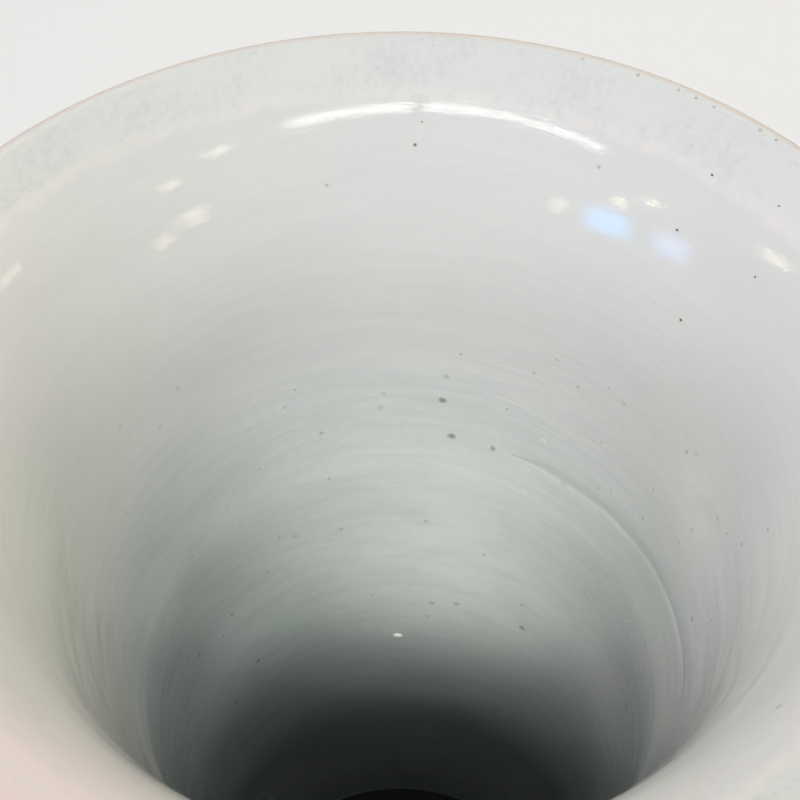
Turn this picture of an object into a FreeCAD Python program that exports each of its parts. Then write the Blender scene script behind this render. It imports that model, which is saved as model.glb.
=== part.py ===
import FreeCAD, Part
import math
import os
import Sketcher

# Gu vase of glazed porcelain: a trumpet mouth, a bulged middle and a spreading foot. The three were
# thrown apart, turned about the same axis, and luted to each other with two thin rings of slip.
# Sizes are taken over the glaze. The origin is the centre of the plane that the foot ring stands on,
# and +Z is up, along the axis.

# Driving dimensions in millimetres, with the angle in degrees.
SIZES = (
    ("vase_height", 420, "foot ring to the top of the lip"),
    ("mouth_radius", 103, "axis to the widest point of the lip"),
    ("lip_thickness", 5, "rounded lip, across"),
    ("flare_angle", 41.5, "rise of the wall where it runs out into the lip"),
    ("lap_width", 11.3, "straight band inside the lip, which the outside glaze laps over"),
    ("lap_step", 0.4, "thickness of that lapped glaze, at its lower edge"),
    ("bell_lead", 22, "how far the band's slope carries on below the overlap line"),
    ("bell_radius", 63.7, "corner that the bell bends round, inside"),
    ("bell_drop", 85, "lip top to that corner"),
    ("bell_wall", 8.6, "wall at that corner, measured level"),
    ("neck_bore", 54.5, "bore at both seams"),
    ("neck_wall", 9.3, "wall at both seams"),
    ("upper_joint", 215, "height of the seam between trumpet and knop"),
    ("lower_joint", 144, "height of the seam between knop and foot"),
    ("seam_thickness", 1.2, "slip between two sections"),
    ("seam_squeeze", 0.6, "slip pressed out into the bore"),
    ("knop_radius", 72, "widest point of the bulged middle"),
    ("knop_wall", 8.8, "wall at that point"),
    ("ridge_width", 5, "raised ridge at either end of the knop, up the wall"),
    ("ridge_rise", 1.4, "raised ridge, out from the wall"),
    ("foot_straight", 46, "lower seam down to the corner where the foot begins to spread"),
    ("waist_radius", 67, "corner where the spread steepens"),
    ("waist_height", 50, "height of that corner"),
    ("foot_radius", 78, "outside of the foot"),
    ("foot_edge", 10, "height of the foot's upright edge"),
    ("foot_turn", 13, "length over which the spread turns into that edge"),
    ("foot_wall", 11, "wall at the foot"),
    ("floor_height", 18, "top of the floor inside"),
    ("floor_corner", 18, "rounded corner between floor and wall"),
    ("recess_depth", 8, "hollow turned out under the base"),
    ("recess_corner", 3, "bevelled corner of that hollow"),
    ("ring_width", 8.5, "foot ring, across"),
    ("ring_bevel", 1, "bevel inside the foot ring"),
    ("foot_bevel", 2, "bevel outside the foot ring"),
    ("bare_height", 4.5, "bare clay from the ring up to the edge of the outside glaze"),
    ("bare_step", 0.4, "thickness of the outside glaze at that edge"),
)

# How many straight runs stand for each round stretch.
LIP_ANGLES = (90, 45, 0)
BELL_COUNTS = (5, 3, 3)
BELLY_COUNT = 6
BORE_COUNT = 4
FOOT_COUNTS = (2, 2, 3)
FLOOR_COUNTS = (2, 2, 4)

# How far up from the seam to the bell's corner the neck's own corner lies, how much of a ridge's width is
# its top, and how near two places are that count as one.
NECK_CORNER_SHARE = 0.72
RIDGE_TOP_SHARE = 1 / 3
SAME_PLACE = 1e-6

doc = FreeCAD.newDocument("GuVase")
sheet = doc.addObject("Spreadsheet::Sheet", "Sizes")
for row, (alias, value, note) in enumerate(SIZES, start=1):
    sheet.set(f"A{row}", alias)
    sheet.set(f"B{row}", str(value))
    sheet.set(f"C{row}", note)
    sheet.setAlias(f"B{row}", alias)
doc.recompute()


class Size:
    """A size of the vase: its value now, and the sum of cells that a dimension is bound to."""

    def __init__(self, value, text):
        self.value = value
        self.text = text

    def __add__(self, other):
        return Size(self.value + other.value, f"({self.text} + {other.text})")

    def __sub__(self, other):
        return Size(self.value - other.value, f"({self.text} - {other.text})")

    def __neg__(self):
        return Size(-self.value, f"(-{self.text})")

    def __mul__(self, share):
        if isinstance(share, Size):
            return Size(self.value * share.value, f"({self.text} * {share.text})")
        return Size(self.value * share, f"({self.text} * {share:.9f})")

    def __truediv__(self, count):
        return Size(self.value / count, f"({self.text} / {count})")


def sine(angle):
    return Size(math.sin(math.radians(angle.value)), f"sin({angle.text})")


def cosine(angle):
    return Size(math.cos(math.radians(angle.value)), f"cos({angle.text})")


NIL = Size(0, "0")
cell = {alias: Size(value, f"Sizes.{alias}") for alias, value, note in SIZES}

# Places that follow from the driving sizes and that neighbouring pieces share.
half_lip = cell["lip_thickness"] / 2
lip_r = cell["mouth_radius"] - half_lip
lip_z = cell["vase_height"] - half_lip
half_seam = cell["seam_thickness"] / 2
seam_radius = cell["neck_bore"] + cell["neck_wall"]
trumpet_end = cell["upper_joint"] + half_seam
knop_top = cell["upper_joint"] - half_seam
knop_end = cell["lower_joint"] + half_seam
foot_top = cell["lower_joint"] - half_seam
bell_corner = cell["vase_height"] - cell["bell_drop"]
neck_corner = trumpet_end + (bell_corner - trumpet_end) * NECK_CORNER_SHARE
ring_bore = cell["foot_radius"] - cell["ring_width"]


# Outlines. A point is its distance from the axis and its height. A path is a list of points, joined by
# straight runs.
def middle(one, other):
    return ((one[0] + other[0]) / 2, (one[1] + other[1]) / 2)


def round_corner(start, corner, end, count):
    """Points of the parabola that leaves start towards the corner and comes into end from it."""
    points = []
    for step in range(1, count + 1):
        share = step / count
        before, at, after = (1 - share) ** 2, 2 * share * (1 - share), share ** 2
        points.append((start[0] * before + corner[0] * at + end[0] * after,
                       start[1] * before + corner[1] * at + end[1] * after))
    return points


def bend(points, counts):
    """A smooth path from the first point to the last that bends round each corner between them."""
    path = [points[0]]
    corners = points[1:-1]
    ends = [middle(corner, onward) for corner, onward in zip(corners, corners[1:])] + [points[-1]]
    for corner, end, count in zip(corners, ends, counts):
        path += round_corner(path[-1], corner, end, count)
    return path


def bow(radius, start, end, rise, count):
    """A swelling on a straight wall. A parabola rises to half the height of its corner."""
    return bend([(radius, start), (radius + rise * 2, (start + end) / 2), (radius, end)], (count,))


def beside_lip(along, across):
    """A point beside the lip: along the flared wall, outwards, and across it, towards the inside."""
    rise, run = sine(cell["flare_angle"]), cosine(cell["flare_angle"])
    return (lip_r + along * run - across * rise, lip_z + along * rise + across * run)


def lip_outline():
    """The rounded lip, from the inside over the top and the widest point to the outside."""
    path = [beside_lip(NIL, half_lip)]
    for degrees in LIP_ANGLES:
        turn = math.radians(degrees)
        path.append((lip_r + half_lip * math.cos(turn), lip_z + half_lip * math.sin(turn)))
    return path + [beside_lip(NIL, -half_lip)]


def trumpet_bore():
    """Inside of the trumpet: the lapped band, its step at the overlap line, then the bell and neck."""
    below = half_lip - cell["lap_step"]
    lapped = beside_lip(-cell["lap_width"], half_lip)
    return [lapped] + bend([
        beside_lip(-cell["lap_width"], below),
        beside_lip(-cell["lap_width"] - cell["bell_lead"], below),
        (cell["bell_radius"], bell_corner),
        (cell["neck_bore"], neck_corner),
        (cell["neck_bore"], trumpet_end)], BELL_COUNTS)


def trumpet_outside():
    """Outside of the trumpet, from the lip down to the upper seam."""
    return bend([
        beside_lip(NIL, -half_lip),
        beside_lip(-cell["lap_width"] - cell["bell_lead"], -half_lip),
        (cell["bell_radius"] + cell["bell_wall"], bell_corner),
        (seam_radius, neck_corner),
        (seam_radius, trumpet_end)], BELL_COUNTS)


def ridge(top, bottom):
    """A raised ridge with sloping flanks, from its top edge down the wall to its bottom edge."""
    flank = (top - bottom) * ((1 - RIDGE_TOP_SHARE) / 2)
    crest = seam_radius + cell["ridge_rise"]
    return [(seam_radius, top), (crest, top - flank), (crest, bottom + flank), (seam_radius, bottom)]


def knop_outside():
    """Outside of the knop, downwards: a ridge at the upper seam, the round belly, the lower ridge."""
    belly_top = knop_top - cell["ridge_width"]
    belly_end = knop_end + cell["ridge_width"]
    belly = bow(seam_radius, belly_top, belly_end, cell["knop_radius"] - seam_radius, BELLY_COUNT)
    return ridge(knop_top, belly_top) + belly[1:-1] + ridge(belly_end, knop_end)


def knop_inside():
    """Inside of the knop, downwards: it swells with the belly and meets both seams at the neck's bore."""
    swelling = cell["knop_radius"] - cell["knop_wall"] - cell["neck_bore"]
    return bow(cell["neck_bore"], knop_top, knop_end, swelling, BORE_COUNT)


def foot_outside():
    """Outside of the foot, from the lower seam to its upright edge, then in under the edge of the glaze."""
    bare = cell["foot_radius"] - cell["bare_step"]
    return bend([
        (seam_radius, foot_top),
        (seam_radius, foot_top - cell["foot_straight"]),
        (cell["waist_radius"], cell["waist_height"]),
        (cell["foot_radius"], cell["foot_edge"] + cell["foot_turn"]),
        (cell["foot_radius"], cell["foot_edge"])], FOOT_COUNTS) + [
        (cell["foot_radius"], cell["bare_height"]),
        (bare, cell["bare_height"]),
        (bare, NIL)]


def foot_inside():
    """Inside of the foot, from the lower seam down the spreading wall and over the floor to the axis."""
    wall = cell["foot_radius"] - cell["foot_wall"]
    return bend([
        (cell["neck_bore"], foot_top),
        (cell["neck_bore"], foot_top - cell["foot_straight"]),
        (cell["waist_radius"] - cell["neck_wall"], cell["waist_height"]),
        (wall, cell["floor_height"]),
        (wall - cell["floor_corner"], cell["floor_height"])], FLOOR_COUNTS) + [
        (NIL, cell["floor_height"])]


def seam_bead(joint):
    """Edge of the slip inside the bore, pressed out to a low ridge."""
    return [(cell["neck_bore"], joint + half_seam),
            (cell["neck_bore"] - cell["seam_squeeze"], joint),
            (cell["neck_bore"], joint - half_seam)]


# Sketches. Every point of an outline is placed by two dimensions that are bound to the cells.
def vector(point):
    return FreeCAD.Vector(point[0].value, point[1].value, 0)


def place(sketch, geometry, point):
    """Fix the start of one run: on an axis of the sketch where it lies there, else by a dimension."""
    for kind, size, axis in (("DistanceX", point[0], -2), ("DistanceY", point[1], -1)):
        if size is NIL:
            sketch.addConstraint(Sketcher.Constraint("PointOnObject", geometry, 1, axis))
        else:
            index = sketch.addConstraint(Sketcher.Constraint(kind, geometry, 1, size.value))
            sketch.setExpression(f"Constraints[{index}]", size.text)


def draw(body, name, outline):
    """A fully dimensioned sketch of a closed outline on the upright plane of its body."""
    sketch = body.newObject("Sketcher::SketchObject", name)
    plane = [item for item in body.Origin.OriginFeatures if item.Role == "XZ_Plane"][0]
    sketch.AttachmentSupport = [(plane, "")]
    sketch.MapMode = "FlatFace"
    following = outline[1:] + outline[:1]
    runs = [Part.LineSegment(vector(start), vector(end)) for start, end in zip(outline, following)]
    sketch.addGeometry(runs, False)
    for number, start in enumerate(outline):
        onward = (number + 1) % len(outline)
        sketch.addConstraint(Sketcher.Constraint("Coincident", number, 2, onward, 1))
        place(sketch, number, start)
    return sketch


def turn(body, kind, name, outline):
    """Revolve an outline all the way round the axis, adding to its body or cutting from it."""
    sketch = draw(body, f"{name}_outline", outline)
    sketch.Visibility = False
    feature = body.newObject(f"PartDesign::{kind}", name)
    feature.Profile = sketch
    feature.ReferenceAxis = (sketch, ["V_Axis"])
    feature.Angle = 360
    doc.recompute()
    return feature


def new_body(label):
    body = doc.addObject("PartDesign::Body", label)
    body.Label = label
    return body


def bevel(body, name, carrier, radius, size):
    """Bevel the circular edge of that radius on the plane that the vase stands on."""
    names = []
    for number, edge in enumerate(carrier.Shape.Edges, start=1):
        on_floor = all(abs(corner.Z) < SAME_PLACE for corner in edge.Vertexes)
        if on_floor and abs(edge.Curve.Radius - radius.value) < SAME_PLACE:
            names.append(f"Edge{number}")
    chamfer = body.newObject("PartDesign::Chamfer", name)
    chamfer.Base = (carrier, names)
    chamfer.setExpression("Size", size.text)
    doc.recompute()
    return chamfer


# The thrown sections.
def make_mouth_section():
    """Trumpet mouth, thrown thin towards a rounded lip, its lower edge cut square for the seam."""
    body = new_body("mouth_section")
    upwards = trumpet_outside()[::-1] + lip_outline()[-2::-1]
    turn(body, "Revolution", "thrown_trumpet", trumpet_bore() + upwards)
    return body


def make_knop_section():
    """Bulged middle, with a ridge turned at either end and both edges cut square for the seams."""
    body = new_body("knop_section")
    turn(body, "Revolution", "thrown_knop", knop_inside() + knop_outside()[::-1])
    return body


def make_foot_section():
    """Spreading foot, thrown with its floor, then turned upside down to hollow the base and leave a ring."""
    body = new_body("foot_section")
    thrown = turn(body, "Revolution", "thrown_foot", foot_inside() + [(NIL, NIL)] + foot_outside()[::-1])
    corner = cell["recess_depth"] - cell["recess_corner"]
    recess = turn(body, "Groove", "turned_recess", [
        (NIL, NIL),
        (NIL, cell["recess_depth"]),
        (ring_bore - cell["recess_corner"], cell["recess_depth"]),
        (ring_bore, corner),
        (ring_bore, NIL)])
    if not recess.Shape.Volume < thrown.Shape.Volume:
        raise RuntimeError("the recess under the base cuts nothing")
    inner = bevel(body, "inner_ring_bevel", recess, ring_bore, cell["ring_bevel"])
    bevel(body, "outer_ring_bevel", inner, cell["foot_radius"] - cell["bare_step"], cell["foot_bevel"])
    return body


# The slip between them.
def make_luting_slip(label, joint):
    """A thin ring of slip between two square-cut edges, flush outside and pressed out inside."""
    body = new_body(label)
    edge = [(seam_radius, joint - half_seam), (seam_radius, joint + half_seam)]
    turn(body, "Revolution", f"{label}_ring", seam_bead(joint) + edge)
    return body


pieces = [
    make_mouth_section(),
    make_luting_slip("upper_luting_slip", cell["upper_joint"]),
    make_knop_section(),
    make_luting_slip("lower_luting_slip", cell["lower_joint"]),
    make_foot_section(),
]

for item in doc.Objects:
    if "Invalid" in item.State or "Error" in item.State:
        raise RuntimeError(f"{item.Label} failed: {item.State}")
    if item.TypeId == "Sketcher::SketchObject" and not item.FullyConstrained:
        raise RuntimeError(f"{item.Label} is not fully dimensioned")
for piece in pieces:
    if piece.Shape.isNull() or not piece.Shape.isValid() or len(piece.Shape.Solids) != 1:
        raise RuntimeError(f"{piece.Label} is not one valid solid")

os.makedirs("parts", exist_ok=True)
for piece in pieces:
    piece.Shape.exportStep(os.path.join("parts", f"{piece.Label}.step"))
    print(f"{piece.Label}: {piece.Shape.Volume:.0f} mm3, reaches {piece.Shape.BoundBox.ZMax:.2f} mm")
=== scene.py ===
import bisect
import math
import random

import bmesh
import bpy
from mathutils import Euler, Matrix, Vector, noise
from mathutils.bvhtree import BVHTree


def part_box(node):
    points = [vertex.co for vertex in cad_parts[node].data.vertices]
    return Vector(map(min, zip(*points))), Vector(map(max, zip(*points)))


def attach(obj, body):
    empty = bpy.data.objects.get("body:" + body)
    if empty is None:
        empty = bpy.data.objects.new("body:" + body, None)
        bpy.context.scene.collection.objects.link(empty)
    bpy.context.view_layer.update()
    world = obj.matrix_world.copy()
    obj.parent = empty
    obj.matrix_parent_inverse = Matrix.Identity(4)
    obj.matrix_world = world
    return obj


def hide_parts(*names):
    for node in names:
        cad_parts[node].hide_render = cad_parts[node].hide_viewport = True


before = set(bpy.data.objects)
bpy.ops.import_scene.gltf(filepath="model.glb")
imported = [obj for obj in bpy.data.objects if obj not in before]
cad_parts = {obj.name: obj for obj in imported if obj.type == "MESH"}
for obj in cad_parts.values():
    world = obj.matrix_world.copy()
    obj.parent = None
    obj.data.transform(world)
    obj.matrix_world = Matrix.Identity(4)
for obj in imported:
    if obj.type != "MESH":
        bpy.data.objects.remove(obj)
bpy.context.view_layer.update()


# Camera. It looks down into the mouth from just outside the near rim. A mark that the photograph shows
# is put on the clay where the line of sight through its pixel meets the wall.
PHOTO_SIZE = 800
FOCAL_PIXELS = 1400
camera_place = Vector((0, -0.1678, 0.5999))
camera_pitch = math.radians(48.517)
camera_turn = Euler((math.radians(90) - camera_pitch, 0, 0))


def add_object(name, data):
    """A new object of the scene, with a mesh, a light or a camera as its data."""
    added = bpy.data.objects.new(name, data)
    bpy.context.scene.collection.objects.link(added)
    return added


camera_data = bpy.data.cameras.new("camera")
camera_data.sensor_width = 36
camera_data.lens = camera_data.sensor_width * FOCAL_PIXELS / PHOTO_SIZE
camera_data.clip_start = 0.01
camera = add_object("camera", camera_data)
camera.location = camera_place
camera.rotation_euler = camera_turn
bpy.context.scene.camera = camera
bpy.context.scene.view_settings.view_transform = "Standard"


def place_of_pixel(form_tree, pixel):
    """The place and the outward direction of the surface that a pixel of the photograph shows."""
    across, down = [(value - PHOTO_SIZE / 2) / FOCAL_PIXELS for value in pixel]
    sight = camera_turn.to_matrix() @ Vector((across, -down, -1))
    place, outward, face, distance = form_tree.ray_cast(camera_place, sight.normalized())
    return place, outward


# Glaze. A clear, faintly blue-green coat over white porcelain, put on wet and melted in the kiln. It keeps
# the lines of wheel and brush, milky clouds, iron dust that burnt brown, and a finely dimpled skin.
GLAZE_COLOR = (0.625, 0.64, 0.63, 1)
MILKY_COLOR = (0.69, 0.695, 0.69, 1)
BRUSHED_COLOR = (0.545, 0.575, 0.56, 1)
# Painted shade: the dark colour below darkens the deep bore, the finger lines and the slopes round the deep
# groove.
PAINTED_SHADE_COLOR = (0.38, 0.42, 0.41, 1)
IRON_COLOR = (0.085, 0.078, 0.045, 1)
GLAZE_ROUGHNESS = 0.04
GLAZE_IOR = 1.52
cloud_share = 0.5
streak_share = 0.65
fine_share = 0.3
dust_share = 0.10
dust_strength = 0.4
dust_scale = 420.0
line_relief = 0.12
peel_relief = 0.022
peel_scale = 1500.0


def new_group(name, inputs, outputs):
    """An empty shader node group and its sockets, which are all plain values but for a Place."""
    group = bpy.data.node_groups.new(name, "ShaderNodeTree")
    for in_out, labels in (("INPUT", inputs), ("OUTPUT", outputs)):
        for label in labels:
            kind = "NodeSocketVector" if label == "Place" else "NodeSocketFloat"
            group.interface.new_socket(label, in_out=in_out, socket_type=kind)
    return group, group.nodes.new("NodeGroupInput").outputs, group.nodes.new("NodeGroupOutput").inputs


def add_node(tree, kind, **settings):
    """A shader node with its settings, and with plain values or sockets on its inputs."""
    node = tree.nodes.new("ShaderNode" + kind)
    inputs = settings.pop("inputs", {})
    for key, value in settings.items():
        setattr(node, key, value)
    for key, value in inputs.items():
        if isinstance(value, bpy.types.NodeSocket):
            tree.links.new(value, node.inputs[key])
        else:
            node.inputs[key].default_value = value
    return node


def math_node(tree, operation, one, other=None, clamp=False):
    """The result of one operation on values or sockets."""
    inputs = {0: one} if other is None else {0: one, 1: other}
    return add_node(tree, "Math", operation=operation, use_clamp=clamp, inputs=inputs).outputs[0]


def times(tree, one, other):
    """The product of two values or sockets."""
    return math_node(tree, "MULTIPLY", one, other)


def plus(tree, one, other):
    """The sum of two values or sockets."""
    return math_node(tree, "ADD", one, other)


def ramp_node(tree, value, low, high, bottom=0.0, top=1.0):
    """A soft step from bottom to top as value goes from low to high."""
    node = add_node(tree, "MapRange", interpolation_type="SMOOTHSTEP", inputs={
        "Value": value, "From Min": low, "From Max": high, "To Min": bottom, "To Max": top})
    return node.outputs["Result"]


def band_node(tree, value, low, rise, fall, high):
    """1 from rise to fall, and 0 below low and above high, with a soft change between them."""
    return times(tree, ramp_node(tree, value, low, rise), ramp_node(tree, value, fall, high, 1.0, 0.0))


def mix_color(tree, share, one, other):
    """One colour turning into another as share goes from 0 to 1."""
    node = tree.nodes.new("ShaderNodeMix")
    node.data_type = "RGBA"
    for socket, value in ((node.inputs[0], share), (node.inputs[6], one), (node.inputs[7], other)):
        if isinstance(value, bpy.types.NodeSocket):
            tree.links.new(value, socket)
        else:
            socket.default_value = value
    return node.outputs[2]


def tinted(tree, color, mask, share, other):
    """A colour turned towards another by a share, where a mask says so."""
    return mix_color(tree, times(tree, mask, share), color, other)


def noise_node(tree, place, scale, detail=2.0, roughness=0.5, stretch=None):
    """Smooth noise over the object, drawn out along the axes whose stretch is small."""
    if stretch is not None:
        place = add_node(tree, "Mapping", inputs={"Vector": place, "Scale": stretch}).outputs[0]
    return add_node(tree, "TexNoise", inputs={
        "Vector": place, "Scale": scale, "Detail": detail, "Roughness": roughness}).outputs["Fac"]


def layer_node(tree, name):
    """A number that the mesh carries at each of its points, 0 where it carries none."""
    return add_node(tree, "Attribute", attribute_name=name).outputs["Fac"]


def level_node(tree, place, operation):
    """The length or the direction of a place's level part, seen from the axis."""
    level = add_node(tree, "VectorMath", operation="MULTIPLY", inputs={0: place, 1: (1, 1, 0)})
    return add_node(tree, "VectorMath", operation=operation, inputs={0: level.outputs[0]})


def make_wheel_lines():
    """Fine level lines left by the throwing finger and the glazing brush."""
    group, into, out = new_group("wheel_lines", ["Place"], ["Height", "Streak"])
    broad = noise_node(group, into["Place"], 1.0, 2.0, 0.55, stretch=(38, 38, 420))
    fine = noise_node(group, into["Place"], 1.0, 2.0, 0.6, stretch=(60, 60, 1300))
    both = plus(group, times(group, broad, 0.6), times(group, fine, 0.4))
    group.links.new(both, out["Height"])
    group.links.new(ramp_node(group, both, 0.42, 0.62), out["Streak"])
    return group


def make_iron_dust():
    """Tiny brown dots, each from a grain of iron in the glaze, strewn unevenly."""
    group, into, out = new_group("iron_dust", ["Place", "Share"], ["Mask"])
    cells = add_node(group, "TexVoronoi", inputs={"Vector": into["Place"], "Scale": dust_scale})
    chance = add_node(group, "SeparateColor", inputs={0: cells.outputs["Color"]})
    rare = math_node(group, "LESS_THAN", chance.outputs[0], into["Share"])
    reach = ramp_node(group, chance.outputs[1], 0.0, 1.0, 0.03, 0.10)
    away = math_node(group, "DIVIDE", cells.outputs["Distance"], reach)
    dot = math_node(group, "SUBTRACT", 1.0, away, clamp=True)
    group.links.new(times(group, ramp_node(group, dot, 0.0, 0.7), rare), out["Mask"])
    return group


def make_glaze_cloud():
    """Slow milky and clear patches, where the glaze lies thicker or thinner."""
    group, into, out = new_group("glaze_cloud", ["Place"], ["Mask"])
    slow = noise_node(group, into["Place"], 16.0, 3.0, 0.55)
    quick = noise_node(group, into["Place"], 1.0, 3.0, 0.6, stretch=(60, 60, 180))
    both = plus(group, times(group, slow, 0.65), times(group, quick, 0.35))
    group.links.new(ramp_node(group, both, 0.36, 0.64), out["Mask"])
    return group


wheel_lines = make_wheel_lines()
iron_dust = make_iron_dust()
glaze_cloud = make_glaze_cloud()


def group_node(tree, group, **inputs):
    return add_node(tree, "Group", node_tree=group, inputs=inputs)


def glaze_base(name):
    """A glaze material's tree, place, colour and height in mm, darker by painted shade deep in the bore."""
    material = bpy.data.materials.new(name)
    material.use_nodes = True
    tree = material.node_tree
    tree.nodes.clear()
    place = tree.nodes.new("ShaderNodeTexCoord").outputs["Object"]
    lines = group_node(tree, wheel_lines, Place=place)
    cloud = group_node(tree, glaze_cloud, Place=place)
    dust = group_node(tree, iron_dust, Place=place, Share=dust_share)
    color = tinted(tree, GLAZE_COLOR, cloud.outputs["Mask"], cloud_share, MILKY_COLOR)
    color = tinted(tree, color, lines.outputs["Streak"], streak_share, BRUSHED_COLOR)
    fine = ramp_node(tree, noise_node(tree, place, 420.0, 3.0, 0.65), 0.40, 0.66)
    color = tinted(tree, color, fine, fine_share, BRUSHED_COLOR)
    # Painted shade: darker deeper in the bore, as the layer says.
    color = mix_color(tree, layer_node(tree, "bore_shade"), color, PAINTED_SHADE_COLOR)
    color = tinted(tree, color, dust.outputs["Mask"], dust_strength, IRON_COLOR)
    height = times(tree, lines.outputs["Height"], line_relief)
    return material, tree, place, color, height


def finish_glaze(tree, color, height):
    """The shader of a glaze: its colour, gloss and relief in mm, with the fine dimples of its skin."""
    skin = tree.nodes.new("ShaderNodeTexCoord").outputs["Object"]
    peel = times(tree, noise_node(tree, skin, peel_scale, 2.0, 0.6), peel_relief)
    height = plus(tree, height, peel)
    bump = add_node(tree, "Bump", inputs={"Strength": 1.0, "Distance": 0.001, "Height": height})
    shader = add_node(tree, "BsdfPrincipled", inputs={
        "Base Color": color, "Roughness": GLAZE_ROUGHNESS, "IOR": GLAZE_IOR, "Normal": bump.outputs[0]})
    add_node(tree, "OutputMaterial", inputs={"Surface": shader.outputs[0]})
    return shader


def make_plain_glaze(name):
    material, tree, place, color, height = glaze_base(name)
    finish_glaze(tree, color, height)
    return material


# Foot. Thrown with its floor, then turned upside down on the wheel to hollow the base and leave a ring.
# It is glazed all over but for the ring that it stands on, which stays bare so that it can't stick.
neck_bore = 0.0545
neck_wall = 0.0093
seam_radius = neck_bore + neck_wall
foot_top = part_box("foot_section")[1].z
foot_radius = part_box("foot_section")[1].x
foot_straight = 0.046
waist_radius = 0.067
waist_height = 0.050
foot_edge = 0.010
foot_turn = 0.013
foot_wall = 0.011
floor_height = 0.018
floor_corner = 0.018
recess_depth = 0.008
recess_corner = 0.003
ring_width = 0.0085
ring_bevel = 0.001
foot_bevel = 0.002
bare_height = 0.0045
bare_step = 0.0004
BISCUIT_COLOR = (0.80, 0.75, 0.66, 1)
RUST_COLOR = (0.62, 0.38, 0.20, 1)
CLAY_GRAIN_COLOR = (0.66, 0.59, 0.49, 1)
CLAY_CLOUD_COLOR = (0.60, 0.52, 0.42, 1)
# Painted shade: the bore inside is darkened a little, and the foot's inside much further, nearly to black.
DEEP_SHADE_COLOR = (0.15, 0.17, 0.17, 1)
bore_shade_share = 0.4
deep_shade_strength = 2.2
pool_share = 0.6
rust_share = 0.75
bare_roughness = 0.8
grain_relief = 0.12
merge_distance = 0.000001
sharp_angle = math.radians(40)
turn_steps = 256


def round_corner(start, corner, end, spacing):
    """Points of the parabola that leaves start towards the corner and comes into end from it."""
    count = max(2, round(((corner - start).length + (end - corner).length) / spacing))
    shares = [step / count for step in range(1, count + 1)]
    return [start * (1 - s) ** 2 + corner * 2 * s * (1 - s) + end * s * s for s in shares]


def bend(corners, spacing):
    """A smooth outline from the first point to the last that bends round each corner between them."""
    points = [Vector(corner) for corner in corners]
    path = [points[0]]
    inner = points[1:-1]
    ends = [(corner + onward) / 2 for corner, onward in zip(inner, inner[1:])] + [points[-1]]
    for corner, end in zip(inner, ends):
        path += round_corner(path[-1], corner, end, spacing)
    return path


def straight(start, end, spacing):
    """Points of a straight run, without its start."""
    start, end = Vector(start), Vector(end)
    count = max(1, round((end - start).length / spacing))
    return [start.lerp(end, step / count) for step in range(1, count + 1)]


def turned_form(outline, segments, closed, shade_rows=0):
    """Turn an outline of radius and height about the axis, with each point's number kept in a layer, and
    painted shade on its first rows in another.
    """
    form = bmesh.new()
    number = form.verts.layers.int.new("number")
    bore_shade = form.verts.layers.float.new("bore_shade")
    points = []
    for index, point in enumerate(outline):
        vertex = form.verts.new((point.x, 0, point.y))
        vertex[number] = index
        vertex[bore_shade] = bore_shade_share if index < shade_rows else 0
        points.append(vertex)
    following = points[1:] + points[:1] if closed else points[1:]
    for one, other in zip(points, following):
        form.edges.new((one, other))
    bmesh.ops.spin(form, geom=form.verts[:] + form.edges[:], cent=(0, 0, 0), axis=(0, 0, 1),
                   angle=math.tau, steps=segments, use_merge=True)
    bmesh.ops.remove_doubles(form, verts=form.verts, dist=merge_distance)
    bmesh.ops.recalc_face_normals(form, faces=form.faces)
    form.normal_update()
    return form


def finish_piece(name, form, material, slot, *nodes):
    """Make the object of a finished form, smooth but for its sharp edges, and fix it to the vase."""
    mesh = bpy.data.meshes.new(name)
    form.to_mesh(mesh)
    form.free()
    mesh.shade_smooth()
    mesh.set_sharp_from_angle(angle=sharp_angle)
    mesh.materials.append(material)
    piece = add_object(name, mesh)
    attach(piece, "root")
    if nodes:
        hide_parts(*nodes)


def foot_outlines(spacing):
    """The foot's outline, from the middle of its floor up the inside, and the rest down and underneath."""
    wall = foot_radius - foot_wall
    inside = bend([(neck_bore, foot_top), (neck_bore, foot_top - foot_straight),
                   (waist_radius - neck_wall, waist_height), (wall, floor_height),
                   (wall - floor_corner, floor_height)], spacing)[::-1]
    outside = bend([(seam_radius, foot_top), (seam_radius, foot_top - foot_straight),
                    (waist_radius, waist_height), (foot_radius, foot_edge + foot_turn),
                    (foot_radius, foot_edge)], spacing)
    bare = foot_radius - bare_step
    ring_bore = foot_radius - ring_width
    inside = [Vector((0, floor_height))] + straight((0, floor_height), inside[0], spacing) + inside[1:]
    points = outside
    points += straight((foot_radius, foot_edge), (foot_radius, bare_height + bare_step), spacing / 2)
    points += round_corner(points[-1], Vector((foot_radius, bare_height)), Vector((bare, bare_height)),
                           bare_step / 2)
    points += straight((bare, bare_height), (bare, foot_bevel), spacing / 2)
    points += round_corner(points[-1], Vector((bare, 0)), Vector((bare - foot_bevel, 0)), foot_bevel / 3)
    points += straight((bare - foot_bevel, 0), (ring_bore + ring_bevel, 0), spacing)
    points += round_corner(points[-1], Vector((ring_bore, 0)), Vector((ring_bore, ring_bevel)),
                           ring_bevel / 3)
    top = Vector((ring_bore, recess_depth))
    points += straight(points[-1], top - Vector((0, recess_corner)), spacing)
    points += round_corner(points[-1], top, top - Vector((recess_corner, 0)), recess_corner / 3)
    points += straight(points[-1], (0, recess_depth), spacing)
    return inside, points


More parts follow.
